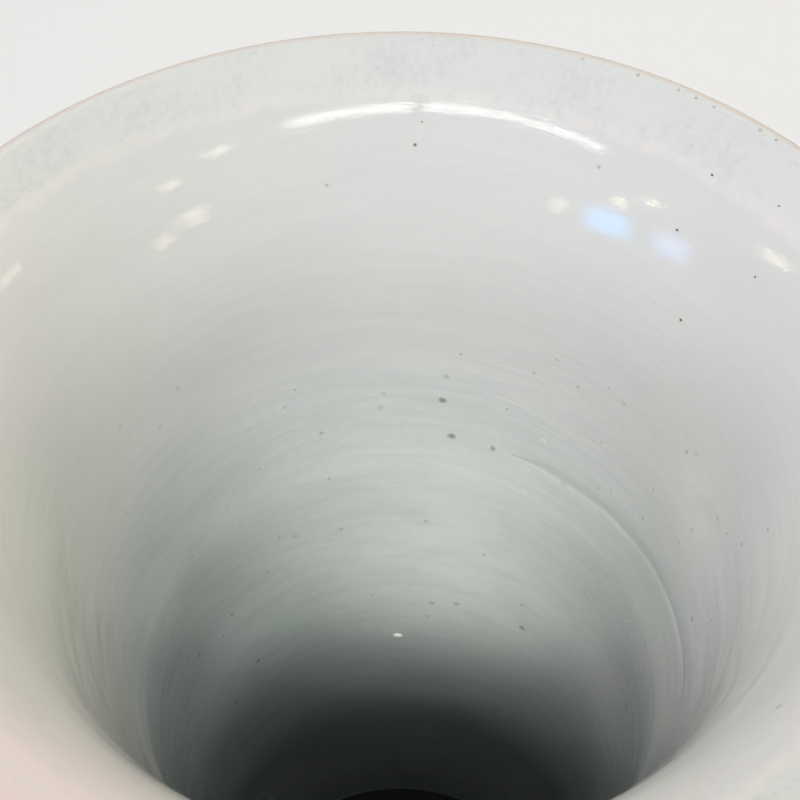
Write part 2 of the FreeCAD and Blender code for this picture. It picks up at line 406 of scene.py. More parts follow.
def make_glaze_pool():
    """A level band where running glaze gathers thicker and bluer, on a ridge's foot or an edge."""
    group, into, out = new_group("glaze_pool", ["Place", "Height", "Reach"], ["Mask"])
    split = add_node(group, "SeparateXYZ", inputs={0: into["Place"]})
    waver = times(group, noise_node(group, into["Place"], 45.0, 2.0), 0.0016)
    height = plus(group, split.outputs["Z"], math_node(group, "SUBTRACT", waver, 0.0008))
    away = math_node(group, "ABSOLUTE", math_node(group, "SUBTRACT", height, into["Height"]))
    group.links.new(ramp_node(group, away, 0.0, into["Reach"], 1.0, 0.0), out["Mask"])
    return group


glaze_pool = make_glaze_pool()
POOL_COLOR = (0.48, 0.57, 0.57, 1)


def make_pooled_glaze(name, *levels):
    """What glaze_base gives, but bluer where the glaze gathers at some (height, reach) levels."""
    material, tree, place, color, height = glaze_base(name)
    for level, reach in levels:
        pool = group_node(tree, glaze_pool, Place=place, Height=level, Reach=reach)
        color = tinted(tree, color, pool.outputs["Mask"], pool_share, POOL_COLOR)
    return material, tree, place, color, height


def make_foot_glaze():
    """The glaze, darkened inside nearly to black with painted shade, and the bare clay of the ring, with a
    rust line where the glaze was wiped off.
    """
    material, tree, place, color, height = make_pooled_glaze(
        "foot_glaze", (bare_height + 0.0012, 0.0016), (recess_depth, 0.0012))
    # Painted shade: the inside of the foot turns nearly black.
    color = tinted(tree, color, layer_node(tree, "bore_shade"), deep_shade_strength, DEEP_SHADE_COLOR)
    split = add_node(tree, "SeparateXYZ", inputs={0: place})
    radius = level_node(tree, place, "LENGTH").outputs["Value"]
    waver = times(tree, noise_node(tree, place, 160.0, 3.0, 0.6), 0.0007)
    ring_start = foot_radius - ring_width
    limit = ramp_node(tree, radius, ring_start, ring_start + 0.001, 0.002, bare_height - 0.0001)
    below = math_node(tree, "SUBTRACT", math_node(tree, "SUBTRACT", limit, waver), split.outputs["Z"])
    bare = ramp_node(tree, below, -0.0003, 0.0001)
    rust = band_node(tree, below, -0.0003, 0.0002, 0.0003, 0.0016)
    grain = noise_node(tree, place, 1400.0, 3.0, 0.7)
    stain = noise_node(tree, place, 90.0, 3.0, 0.6)
    clay = mix_color(tree, ramp_node(tree, grain, 0.35, 0.7, 0.0, 0.35), BISCUIT_COLOR, CLAY_GRAIN_COLOR)
    clay = mix_color(tree, ramp_node(tree, stain, 0.52, 0.72, 0.0, 0.4), clay, CLAY_CLOUD_COLOR)
    clay = tinted(tree, clay, rust, rust_share, RUST_COLOR)
    color = mix_color(tree, bare, color, clay)
    rough = times(tree, times(tree, grain, bare), grain_relief)
    shader = finish_glaze(tree, color, plus(tree, height, rough))
    roughness = ramp_node(tree, bare, 0.0, 1.0, GLAZE_ROUGHNESS, bare_roughness)
    tree.links.new(roughness, shader.inputs["Roughness"])
    return material


foot_inside, foot_outside = foot_outlines(0.0025)
foot_form = turned_form(foot_inside + foot_outside, turn_steps, closed=False, shade_rows=len(foot_inside))
finish_piece("glazed_foot", foot_form, make_foot_glaze(), "glaze", "foot_section")


# Luting slip. The potter joined the three sections with soft clay, and the glaze ran over it. Inside it was
# pressed out a little at the lower seam and hardly at the upper one, where no edge shows.
upper_squeeze = 0.00005
lower_squeeze = 0.0002


def make_seam(name, node, squeeze):
    low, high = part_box(node)
    middle = (low.z + high.z) / 2
    bead = bend([(neck_bore, high.z), (neck_bore - squeeze * 2, middle), (neck_bore, low.z)], 0.0004)
    outline = bead + [Vector((seam_radius, low.z)), Vector((seam_radius, high.z))]
    # The bead inside is darkened with the bore's painted shade.
    form = turned_form(outline, turn_steps, closed=True, shade_rows=len(bead))
    finish_piece(name, form, make_plain_glaze(name + "_glaze"), "biscuit", node)


make_seam("lower_seam", "lower_luting_slip", lower_squeeze)
make_seam("upper_seam", "upper_luting_slip", upper_squeeze)


# Knop. The bulged middle, of porcelain thrown by itself, with a ridge turned at either end, where the glaze
# gathered. Its bore widens only a little and softly, because the photograph shows no edge at its seam.
knop_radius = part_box("knop_section")[1].x
knop_lead = 0.010
knop_swelling = 0.003
knop_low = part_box("knop_section")[0].z
knop_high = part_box("knop_section")[1].z
ridge_width = 0.005
ridge_rise = 0.0014


def bow(radius, start, end, rise, spacing):
    """A swelling on a straight wall. The parabola rises to half the height of its corner."""
    return bend([(radius, start), (radius + rise * 2, (start + end) / 2), (radius, end)], spacing)


def knop_outlines(spacing):
    middle = (knop_low + knop_high) / 2
    inside = bend([(neck_bore, knop_low), (neck_bore, knop_low + knop_lead),
                   (neck_bore + knop_swelling, middle), (neck_bore, knop_high - knop_lead),
                   (neck_bore, knop_high)], spacing)
    belly_top, belly_end = knop_high - ridge_width, knop_low + ridge_width
    fine = ridge_width / 8
    upper = bow(seam_radius, knop_high, belly_top, ridge_rise, fine)
    belly = bow(seam_radius, belly_top, belly_end, knop_radius - seam_radius, spacing)
    lower = bow(seam_radius, belly_end, knop_low, ridge_rise, fine)
    return inside, upper + belly[1:] + lower[1:]


def make_knop_glaze():
    material, tree, place, color, height = make_pooled_glaze(
        "knop_glaze", (knop_high - ridge_width, 0.0014), (knop_low + ridge_width, 0.0014))
    finish_glaze(tree, color, height)
    return material


knop_inside, knop_outside = knop_outlines(0.0015)
# Its bore is darkened with painted shade.
knop_form = turned_form(knop_inside + knop_outside, turn_steps, closed=True, shade_rows=len(knop_inside))
knop_tree = BVHTree.FromBMesh(knop_form)
finish_piece("glazed_knop", knop_form, make_knop_glaze(), "glaze", "knop_section")


# Trumpet mouth. Thrown thin towards a rounded lip, glazed inside, then dipped upside down in the outside
# glaze, which laps over the lip and ends inside in a soft, wavering line. Its rings are the potter's own.
vase_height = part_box("mouth_section")[1].z
mouth_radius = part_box("mouth_section")[1].x
trumpet_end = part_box("mouth_section")[0].z
lip_thickness = 0.005
flare_angle = math.radians(41.5)
lap_width = 0.0113
lap_step = 0.00003
bell_lead = 0.022
bell_radius = 0.0637
bell_drop = 0.085
bell_wall = 0.0086
NECK_CORNER_SHARE = 0.72
wall_spacing = 0.0004
fade_share = 0.2
fade_degrees = 2
half_lip = lip_thickness / 2
lip_middle = Vector((mouth_radius - half_lip, vase_height - half_lip))
out_along = Vector((math.cos(flare_angle), math.sin(flare_angle)))
in_across = Vector((-math.sin(flare_angle), math.cos(flare_angle)))
bell_corner = vase_height - bell_drop
neck_corner = trumpet_end + (bell_corner - trumpet_end) * NECK_CORNER_SHARE


def beside_lip(along, across):
    """A point beside the lip: along the flared wall, outwards, and across it, towards the inside."""
    return lip_middle + out_along * along + in_across * across


def smooth_step(value, low, high):
    """0 below low and 1 above high, or the other way round, with a soft change between them."""
    share = min(max((value - low) / (high - low), 0), 1)
    return share * share * (3 - 2 * share)


# The smooth wall comes first: the seam to the overlap line, then straight on under the lapped glaze.
wall_points = bend([(neck_bore, trumpet_end), (neck_bore, neck_corner), (bell_radius, bell_corner),
                    beside_lip(-lap_width - bell_lead, half_lip - lap_step),
                    beside_lip(-lap_width, half_lip - lap_step)], wall_spacing)
line_reach = sum((end - start).length for start, end in zip(wall_points, wall_points[1:]))
wall_points += straight(wall_points[-1], beside_lip(0, half_lip - lap_step), wall_spacing)
wall_reach = [0]
for start, end in zip(wall_points, wall_points[1:]):
    wall_reach.append(wall_reach[-1] + (end - start).length)
wall_heights = [point.y for point in wall_points]
smooth_wall = turned_form(wall_points[::4] + wall_points[-1:], 240, closed=False)
smooth_tree = BVHTree.FromBMesh(smooth_wall)
smooth_wall.free()


def round_axis(point, turn):
    """A point of an outline, or a way in it, turned round the axis from the far side."""
    return Vector((math.sin(turn) * point.x, math.cos(turn) * point.x, point.y))


def wall_place(along):
    """The smooth wall's radius and height, and the way out of it, at a distance past the overlap line."""
    reach = along + line_reach
    index = min(max(bisect.bisect(wall_reach, reach), 1), len(wall_reach) - 1)
    start, end = wall_points[index - 1], wall_points[index]
    share = (reach - wall_reach[index - 1]) / (wall_reach[index] - wall_reach[index - 1])
    run = (end - start).normalized()
    return start.lerp(end, share), Vector((-run.y, run.x))


def wall_at_pixel(pixel):
    """Where a pixel of the photograph lies on the wall: degrees from the far side, and height in mm."""
    place, outward = place_of_pixel(smooth_tree, pixel)
    return math.degrees(math.atan2(place.x, place.y)), place.z * 1000


def along_the_line(marks, angle):
    """The height of a line of (degrees, mm) marks at an angle, and its strength, which fades at its ends."""
    angles = [mark[0] for mark in marks]
    index = min(max(bisect.bisect(angles, angle), 1), len(marks) - 1)
    start, end = marks[index - 1], marks[index]
    share = min(max((angle - start[0]) / (end[0] - start[0]), 0), 1)
    reach = (angles[-1] - angles[0]) * fade_share
    inside = min(angle - angles[0], angles[-1] - angle)
    return start[1] + (end[1] - start[1]) * share, smooth_step(inside, -fade_degrees, reach)


# Lines of the throwing finger, as pixels of the photograph, then the widths above and below each and its
# depth, in mm. All are fine relief, and three are in the form too. The folds run down the near sides.
FINGER_LINES = {
    "deep_groove": [(505, 453), (540, 468), (580, 493), (605, 511), (628, 535), (650, 563), (665, 592),
                    (674, 615), (680, 640), (683, 665), (683, 690), (679, 715)],
    "long_line": [(180, 525), (207, 507), (240, 487), (275, 472), (307, 464), (350, 459), (400, 457),
                  (425, 460), (450, 465), (472, 470), (487, 477)],
    "upper_line": [(450, 378), (475, 388), (505, 398), (530, 409), (555, 422), (575, 435), (597, 450)],
    "short_line": [(510, 486), (530, 497), (550, 510), (565, 522), (582, 540)],
    "side_line": [(635, 407), (655, 422), (675, 442), (690, 462)],
    "lower_line": [(505, 557), (525, 567), (540, 579), (560, 590), (575, 602), (590, 617)],
    "dark_line": [(548, 615), (565, 625), (580, 637), (595, 652), (607, 675)],
    "faint_line": [(385, 568), (400, 569), (425, 572), (450, 581), (470, 590)],
    "left_line": [(205, 603), (225, 590), (250, 572), (280, 552), (325, 543), (360, 540)],
}
FINGER_DEPTHS = {
    "deep_groove": (2.8, 1.2, 0.07), "long_line": (1.4, 1.0, 0.022), "upper_line": (0.8, 0.6, 0.025),
    "short_line": (0.5, 0.3, 0.02), "side_line": (0.6, 0.4, 0.02), "lower_line": (0.6, 0.4, 0.03),
    "dark_line": (0.9, 0.5, 0.05), "faint_line": (0.5, 0.3, 0.015), "left_line": (0.8, 0.7, 0.03)}
RIDGES = [[(86, 575), (95, 600), (97, 635), (100, 660)], [(84, 640), (88, 660), (94, 680), (101, 700)],
          [(691, 637), (693, 660), (692, 690), (688, 715)],
          [(714, 560), (720, 600), (721, 640), (716, 670), (708, 700)],
          [(770, 665), (750, 690), (728, 720)], [(795, 610), (788, 630), (772, 660)]]
GROOVES = [[(100, 615), (104, 650), (108, 690)], [(75, 630), (82, 670), (90, 700)],
           [(704, 640), (702, 670), (700, 700)], [(735, 640), (734, 675), (716, 710)],
           [(775, 640), (760, 670), (740, 700)], [(62, 500), (66, 540), (70, 590)]]
GROOVE_SHAPES = {
    "deep_groove": (4.0, 2.0, 0.11), "dark_line": (2.4, 1.6, 0.05), "left_line": (2.6, 2.2, 0.04)}
fold_width = 1.5
fold_depth = 0.11
ROW_GAPS = [(-0.13, 0.002), (-0.012, 0.0011), (0, 0.0007)]
fine_start = -0.0005
fine_gap = 0.0003
lap_gap = 0.0009
line_drift = 0.0006
line_tilt = 0.0024
tilt_turn = math.radians(135)
waver_rise = 0.0007
ripple_rise = 0.0004
NEAR_ANGLES = (60, 105)
CALM_BAND = (-0.034, -0.016)
calm_share = 0.93
ring_rise = 0.022
near_ring_rise = 0.050
wave_rise = 0.05
near_wave_rise = 0.13


def marks_of(pixels):
    return sorted(wall_at_pixel(pixel) for pixel in pixels)


line_marks = {name: marks_of(pixels) for name, pixels in FINGER_LINES.items()}
folds = [(marks_of(pixels), fold_depth) for pixels in RIDGES]
folds += [(marks_of(pixels), -fold_depth) for pixels in GROOVES]


def inside_rows():
    """Distances of the rows of points past the overlap line, close together where the form is finest."""
    rows = [-line_reach]
    while rows[-1] < fine_start - 0.0001:
        gap = next(gap for limit, gap in ROW_GAPS if rows[-1] < limit)
        rows.append(min(rows[-1] + gap, fine_start))
    rows += [fine_start + fine_gap * step for step in range(1, 8)]
    while rows[-1] < lap_width - fine_gap - lap_gap:
        rows.append(rows[-1] + lap_gap)
    return rows


def noise_round(turn, turns, height):
    """Smooth noise that closes on itself round the vase, quicker with more turns."""
    return noise.noise(Vector((math.sin(turn) * turns, math.cos(turn) * turns, height)))


def line_shift(angle):
    """How far the overlap line wavers up the wall, where the dipped glaze ran a little further or less."""
    turn = math.radians(angle)
    waver = noise_round(turn, 5, 3.1) * waver_rise
    ripple = noise_round(turn, 17, 7.7) * ripple_rise
    return line_drift + line_tilt * math.cos(turn + tilt_turn) + waver + ripple


def finger_height(angle, along, height):
    """How far the clay stands out from the smooth wall at a place: the hand's rings, folds and grooves."""
    turn = math.radians(angle)
    near_side = smooth_step(abs(angle), *NEAR_ANGLES)
    calm = smooth_step(along, *CALM_BAND) * (1 - near_side)
    rings = noise_round(turn, 1.1, along * 170) * (ring_rise + near_ring_rise * near_side)
    waves = noise_round(turn, 1.6, along * 60 + 9) * (wave_rise + near_wave_rise * near_side)
    rise = (rings + waves) * (1 - calm * calm_share)
    for marks, depth in folds:
        middle, share = along_the_line(marks, angle)
        if share > 0:
            rise += depth * share * math.exp(-((height - middle) / fold_width) ** 2)
    for name, (upper, lower, depth) in GROOVE_SHAPES.items():
        middle, share = along_the_line(line_marks[name], angle)
        offset = height - middle
        slope = smooth_step(offset, upper, 0) if offset > 0 else smooth_step(offset, -lower, 0)
        rise -= depth * share * slope
    return rise * 0.001


rows = inside_rows()
lip_steps = 16
trumpet_steps = 320
lip_turn = math.radians(90) + flare_angle
trumpet_points = []
for along in rows:
    place, outward = wall_place(along)
    trumpet_points.append(place)
lip_angles = [lip_turn - math.pi * step / lip_steps for step in range(lip_steps + 1)]
for angle in lip_angles:
    trumpet_points.append(lip_middle + Vector((math.cos(angle), math.sin(angle))) * half_lip)
trumpet_points += bend([beside_lip(0, -half_lip), beside_lip(-lap_width - bell_lead, -half_lip),
                        (bell_radius + bell_wall, bell_corner), (seam_radius, neck_corner),
                        (seam_radius, trumpet_end)], 0.0035)[1:]
trumpet_form = turned_form(trumpet_points, trumpet_steps, closed=True)
layers = trumpet_form.verts.layers.float
along_layer = layers.new("along")
crest_layer = layers.new("crest")
bore_shade_layer = layers["bore_shade"]
line_layers = {name: layers.new(name) for name in FINGER_LINES}
number = trumpet_form.verts.layers.int["number"]
crest_turn = math.radians(50)
crest_reach = math.radians(62)
lap_start = 0.001
SHIFT_BAND = (-0.028, -0.001)
LAP_BAND = (-0.0008, 0.0030)
BORE_SHADE_BAND = (-0.138, -0.190)
off_the_line = 1000
faintest_share = 0.05
for vertex in trumpet_form.verts:
    turn = math.atan2(vertex.co.x, vertex.co.y)
    angle = math.degrees(turn)
    index = vertex[number]
    if index >= len(rows):
        vertex[along_layer] = lap_width + 0.001 * (index - len(rows) + 1)
        if index < len(rows) + len(lip_angles):
            vertex[crest_layer] = 1 - min(abs(lip_angles[index - len(rows)] - crest_turn) / crest_reach, 1)
        continue
    row = rows[index]
    shift = line_shift(angle)
    if row > lap_start:
        shift *= 1 - (row - lap_start) / (lap_width - lap_start)
    else:
        shift *= smooth_step(row, *SHIFT_BAND)
    place, outward = wall_place(row + shift)
    lift = lap_step * smooth_step(row, *LAP_BAND)
    lift += finger_height(angle, row, place.y * 1000)
    place += outward * lift
    vertex.co = round_axis(place, turn)
    vertex[along_layer] = row
    # Painted shade, darker deeper down the bore.
    vertex[bore_shade_layer] = smooth_step(row, *BORE_SHADE_BAND) * bore_shade_share
    for name, layer in line_layers.items():
        middle, share = along_the_line(line_marks[name], angle)
        vertex[layer] = off_the_line
        if share > faintest_share:
            vertex[layer] = min((place.y * 1000 - middle) / share, off_the_line)
for vertex in trumpet_form.verts:
    if vertex[number] >= len(rows):
        for layer in line_layers.values():
            vertex[layer] = off_the_line
bmesh.ops.recalc_face_normals(trumpet_form, faces=trumpet_form.faces)
trumpet_form.normal_update()
trumpet_tree = BVHTree.FromBMesh(trumpet_form)


def make_finger_line():
    """A line drawn into wet clay: a slope above it and one below it, both widths in mm."""
    group, into, out = new_group("finger_line", ["Offset", "Upper", "Lower"], ["Depth"])
    above = ramp_node(group, into["Offset"], 0.0, into["Upper"], 1.0, 0.0)
    start = times(group, into["Lower"], -1.0)
    below = ramp_node(group, into["Offset"], start, 0.0, 0.0, 1.0)
    group.links.new(math_node(group, "MINIMUM", above, below), out["Depth"])
    return group


finger_line = make_finger_line()
THIN_COLOR = (0.657, 0.645, 0.662, 1)
LAPPED_COLOR = (0.69, 0.695, 0.70, 1)
MOTTLE_COLOR = (0.47, 0.50, 0.505, 1)
LINE_COLOR = (0.74, 0.70, 0.705, 1)
LIP_COLOR = (0.65, 0.585, 0.58, 1)
STAIN_COLOR = (0.66, 0.58, 0.45, 1)
STAIN_PATCHES = [((690, 470), 0.030, 0.24), ((668, 450), 0.012, 0.24), ((716, 504), 0.011, 0.24)]
# Painted light and painted shade: the pale colour lightens patches where more light falls, the darker colour
# darkens patches in the near rim's shadow.
PAINTED_LIGHT_COLOR = (0.82, 0.85, 0.835, 1)
SHADE_PATCH_COLOR = (0.465, 0.485, 0.475, 1)
LIGHT_PATCHES = [((440, 560), 0.058, 0.95), ((232, 668), 0.034, 0.8), ((745, 590), 0.036, 0.5),
                 ((56, 580), 0.036, 0.45), ((608, 706), 0.028, 0.4), ((702, 505), 0.020, 0.4)]
# Painted highlight: a pink flush on the near flare by the lip.
PAINTED_HIGHLIGHT_COLOR = (0.80, 0.67, 0.70, 1)
PAINTED_HIGHLIGHT_PATCHES = [((2, 798), 0.040, 1.0)]
# Painted shade: darker patches on the side walls and at the shadow's edge deep in the middle.
SHADE_PATCHES = [((195, 545), 0.040, 0.65), ((632, 596), 0.036, 0.7), ((425, 680), 0.020, 0.7)]


# Painted shade below the deep groove and on the slope above it, with a painted highlight on the edge between
# them.
GROOVE_SHADING_BANDS = [((-8.0, -0.8, -0.8, 0.2), 0.08, PAINTED_SHADE_COLOR), ((-0.2, 0.3, 0.3, 5.5), 0.24, PAINTED_SHADE_COLOR),
                ((-1.6, -0.8, -0.5, -0.1), 0.09, PAINTED_LIGHT_COLOR)]
thin_share = 0.75
mottle_share = 0.62
mottle_stretch = 11.0
under_share = 0.35
lip_share = 0.9
lip_dust_share = 0.25


def lay_patches(tree, place, color, mask, patches, patch_color):
    """Soft patches of another colour, from a share at a pixel of the photograph to 0 at its reach."""
    for pixel, reach, share in patches:
        spot, outward = place_of_pixel(trumpet_tree, pixel)
        away = add_node(tree, "VectorMath", operation="DISTANCE", inputs={0: place, 1: spot})
        patch = ramp_node(tree, away.outputs["Value"], 0.0, reach, share, 0.0)
        color = tinted(tree, color, patch, mask, patch_color)
    return color


def place_round_lip(tree, place, along):
    """The direction from the axis with the distance along the wall, for marks that run down from the lip."""
    around = level_node(tree, place, "NORMALIZE")
    around = add_node(tree, "SeparateXYZ", inputs={0: around.outputs[0]})
    down = times(tree, along, mottle_stretch)
    return add_node(tree, "CombineXYZ", inputs={
        "X": around.outputs["X"], "Y": around.outputs["Y"], "Z": down}).outputs[0]


def lapped_coat(tree, spread, along, color):
    """The lapped glaze, mottled where it ran, with some of the glaze under it showing through."""
    streaks = noise_node(tree, spread, 46.0, 4.0, 0.72)
    patches = noise_node(tree, spread, 5.0, 2.0, 0.5)
    mottle = plus(tree, streaks, times(tree, patches, 0.7))
    mottle = plus(tree, mottle, ramp_node(tree, along, 0.010, 0.001, 0.0, 0.05))
    coat = tinted(tree, LAPPED_COLOR, ramp_node(tree, mottle, 0.78, 1.24), mottle_share, MOTTLE_COLOR)
    return mix_color(tree, under_share, coat, color)


def make_mouth_glaze():
    """The inside glaze with painted light and shade, the lapped glaze with its mottles, the pale line between
    them, and the thin lip.
    """
    material, tree, place, color, height = glaze_base("mouth_glaze")
    along = layer_node(tree, "along")
    color = mix_color(tree, ramp_node(tree, along, -0.13, -0.02, 0.0, thin_share), color, THIN_COLOR)
    height = times(tree, height, ramp_node(tree, along, -0.034, -0.014, 1.2, 0.3))
    for name, (upper, lower, depth) in FINGER_DEPTHS.items():
        line = group_node(tree, finger_line, Offset=layer_node(tree, name), Upper=upper, Lower=lower)
        sunk = times(tree, line.outputs["Depth"], depth)
        height = math_node(tree, "SUBTRACT", height, sunk)
        # Painted shade: each finger line is darkened as deep as it is sunk.
        color = mix_color(tree, sunk, color, PAINTED_SHADE_COLOR)
    uneven = noise_node(tree, place, 1.0, 3.0, 0.6, stretch=(45, 45, 120))
    uneven = ramp_node(tree, uneven, 0.25, 0.6, 0.55, 1.0)
    # Painted light and painted shade, laid in soft patches.
    color = lay_patches(tree, place, color, uneven, LIGHT_PATCHES, PAINTED_LIGHT_COLOR)
    color = lay_patches(tree, place, color, uneven, SHADE_PATCHES, SHADE_PATCH_COLOR)
    # Painted shade and a painted highlight round the deep groove.
    groove = layer_node(tree, "deep_groove")
    for edges, share, band_color in GROOVE_SHADING_BANDS:
        color = tinted(tree, color, band_node(tree, groove, *edges), share, band_color)
    cloudy = ramp_node(tree, noise_node(tree, place, 160.0, 3.0, 0.6), 0.28, 0.78)
    color = lay_patches(tree, place, color, cloudy, STAIN_PATCHES, STAIN_COLOR)
    spread = place_round_lip(tree, place, along)
    lapped = ramp_node(tree, along, -0.0012, 0.0012)
    color = mix_color(tree, lapped, color, lapped_coat(tree, spread, along, color))
    # Painted highlight: a pink flush on the near flare.
    color = lay_patches(tree, place, color, uneven, PAINTED_HIGHLIGHT_PATCHES, PAINTED_HIGHLIGHT_COLOR)
    pale = band_node(tree, along, -0.0022, 0.0002, 0.0004, 0.0030)
    broken = ramp_node(tree, noise_node(tree, spread, 24.0, 2.0, 0.5), 0.28, 0.66, 0.12, 0.75)
    color = tinted(tree, color, pale, broken, LINE_COLOR)
    thin = ramp_node(tree, layer_node(tree, "crest"), 0.05, 0.35)
    color = tinted(tree, color, thin, lip_share, LIP_COLOR)
    dust = group_node(tree, iron_dust, Place=place, Share=lip_dust_share)
    color = tinted(tree, color, dust.outputs["Mask"], thin, IRON_COLOR)
    finish_glaze(tree, color, height)
    return material


finish_piece("glazed_trumpet", trumpet_form, make_mouth_glaze(), "glaze", "mouth_section")


# Iron flecks. Grains of iron in the clay and glaze burnt through in the kiln as brown and grey spots, and
# lie in the glaze, hardly raised. A few spots are pale, where the glaze crawled back.
fleck_rise = 0.00003
fleck_sink = 0.00001
RUST_SPOT_COLOR = (0.42, 0.30, 0.10, 1)
PALE_COLOR = (0.95, 0.95, 0.94, 1)
DARK_DOTS = [(712, 175), (677, 230), (755, 277), (681, 320), (422, 122), (779, 206)]
LARGE_FLECKS = [(443, 400), (452, 436)]
MIDDLE_FLECKS = [(493, 448), (322, 433), (192, 557), (199, 655), (258, 661), (237, 701), (232, 615),
                 (544, 681), (626, 707), (645, 647), (567, 771), (500, 773), (434, 694), (692, 619)]
SOFT_FLECKS = [(178, 389), (120, 426), (160, 427), (384, 393), (381, 407), (280, 537), (296, 536), (341, 529),
               (228, 507), (285, 407), (432, 603), (457, 604), (427, 616), (624, 404), (575, 694), (617, 662),
               (564, 484), (588, 570), (72, 619), (447, 376), (779, 707)]
PIN_FLECKS = [(599, 167), (327, 185), (295, 390), (329, 479), (260, 469), (224, 527),
              (240, 524), (205, 537), (126, 513), (223, 636), (180, 654), (267, 573), (372, 595), (461, 354),
              (507, 409), (534, 373), (557, 360), (578, 387), (609, 388), (602, 442), (696, 455), (687, 452),
              (598, 488), (611, 490), (653, 489), (643, 518), (692, 529), (718, 518), (679, 542), (742, 544),
              (768, 529), (727, 534), (426, 521), (636, 594), (484, 555), (585, 592), (522, 605), (712, 620),
              (623, 632), (583, 59), (638, 75), (679, 90), (696, 98), (714, 107), (760, 130), (776, 140)]
fleck_random = random.Random(11)


def clay_at_pixel(pixel):
    """The piece that a pixel of the photograph shows, the mouth or the knop below it, and the place on it."""
    for tree in (trumpet_tree, knop_tree):
        place, outward = place_of_pixel(tree, pixel)
        if place is not None:
            return tree, place, outward


def wall_frame(place, outward):
    """The axes of a mark on the wall: they start at its place, and Z stands out of the wall."""
    return Matrix.Translation(place) @ outward.to_track_quat("Z", "Y").to_matrix().to_4x4()


def add_fleck(form, pixel, radius, strength):
    """Lay a small uneven spot on the wall, level with the glaze at its rim, and darkest in the middle."""
    tree, place, outward = clay_at_pixel(pixel)
    axes = wall_frame(place, outward)
    before = len(form.verts)
    disc = bmesh.ops.create_circle(form, cap_ends=True, segments=12, radius=radius, matrix=axes)
    face = disc["verts"][0].link_faces[0]
    bmesh.ops.inset_individual(form, faces=[face], thickness=radius * 0.35)
    bmesh.ops.inset_individual(form, faces=[face], thickness=radius * 0.3)
    bmesh.ops.poke(form, faces=[face])
    form.verts.ensure_lookup_table()
    stretch = fleck_random.uniform(0.7, 1.0)
    lobe = fleck_random.uniform(0, 9)
    across = axes.col[0].to_3d()
    upright = axes.col[1].to_3d()
    iron = form.verts.layers.float["iron"]
    for vertex in form.verts[before:]:
        offset = vertex.co - place
        side, rise = offset.dot(across), offset.dot(upright)
        share = min(math.hypot(side, rise) / radius, 1)
        wobble = 1 + 0.5 * noise.noise(Vector((side / radius * 0.9, rise / radius * 0.9, lobe)))
        spot, away, index, distance = tree.find_nearest(
            place + across * side * wobble + upright * rise * wobble * stretch)
        vertex.co = spot + away * (fleck_rise * (1 - share * share) - fleck_sink)
        vertex[iron] = strength * (1 - smooth_step(share, 0.25, 1.0))


def make_fleck_glaze(name, fleck_color):
    """The glaze with a burnt spot in it, as strong as the mesh says."""
    material, tree, place, color, height = glaze_base(name)
    color = mix_color(tree, layer_node(tree, "iron"), color, fleck_color)
    finish_glaze(tree, color, height)
    return material


def make_flecks(name, fleck_color, classes):
    form = bmesh.new()
    form.verts.layers.float.new("iron")
    for pixels, radius, strength in classes:
        for pixel in pixels:
            size = radius * fleck_random.uniform(0.85, 1.15)
            add_fleck(form, pixel, size, min(strength * fleck_random.uniform(0.8, 1.2), 1))
    finish_piece(name, form, make_fleck_glaze(name + "_glaze", fleck_color), "glaze")


make_flecks("iron_flecks", IRON_COLOR, [
    ([(415, 145)], 0.00065, 0.85), (DARK_DOTS, 0.0005, 0.95), (LARGE_FLECKS, 0.0014, 0.55),
    (MIDDLE_FLECKS, 0.0010, 0.38), (SOFT_FLECKS, 0.0011, 0.15), (PIN_FLECKS, 0.0006, 0.32)])
make_flecks("rust_fleck", RUST_SPOT_COLOR, [([(522, 628)], 0.0014, 0.9)])
make_flecks("pale_spots", PALE_COLOR, [
    ([(626, 621), (740, 484)], 0.0004, 0.8), ([(544, 440), (607, 696)], 0.0012, 0.35)])


# Kiln grit and glaze bead. One crumb of kiln sand fell into the wet glaze and stands up from it. Under the
# overlap line a bead of glaze stopped as it ran down.
CRUMB_PIXEL = (398, 635)
CRUMB_COLOR = (0.95, 0.95, 0.93, 1)
crumb_size = Vector((0.0014, 0.00084, 0.0008))
BEAD_PIXEL = (419, 105)
bead_radius = 0.0030
bead_height = 0.00012
bead_sink = 0.000004


def make_crumb():
    axes = wall_frame(*place_of_pixel(trumpet_tree, CRUMB_PIXEL))
    form = bmesh.new()
    bmesh.ops.create_icosphere(form, subdivisions=3, radius=1)
    for vertex in form.verts:
        rough = 1 + 0.3 * noise.noise(vertex.co * 1.7 + Vector((4, 1, 2)))
        vertex.co = axes @ (vertex.co * crumb_size * rough)
    form.normal_update()
    material, tree, spot, color, height = glaze_base("crumb_glaze")
    finish_glaze(tree, mix_color(tree, 0.9, color, CRUMB_COLOR), height)
    finish_piece("kiln_crumb", form, material, "glaze")


def make_bead():
    place, outward = place_of_pixel(trumpet_tree, BEAD_PIXEL)
    axes = wall_frame(place, outward)
    form = bmesh.new()
    bmesh.ops.create_grid(form, x_segments=16, y_segments=16, size=bead_radius, matrix=axes)
    for vertex in form.verts:
        share = (vertex.co - place).length / bead_radius
        spot, away, index, distance = trumpet_tree.find_nearest(vertex.co)
        vertex.co = spot + away * (bead_height * math.exp(-(share * 2.1) ** 2) - bead_sink)
    form.normal_update()
    material, tree, spot, color, height = glaze_base("bead_glaze")
    finish_glaze(tree, mix_color(tree, 0.85, color, THIN_COLOR), height)
    finish_piece("glaze_bead", form, material, "glaze")


make_crumb()
make_bead()


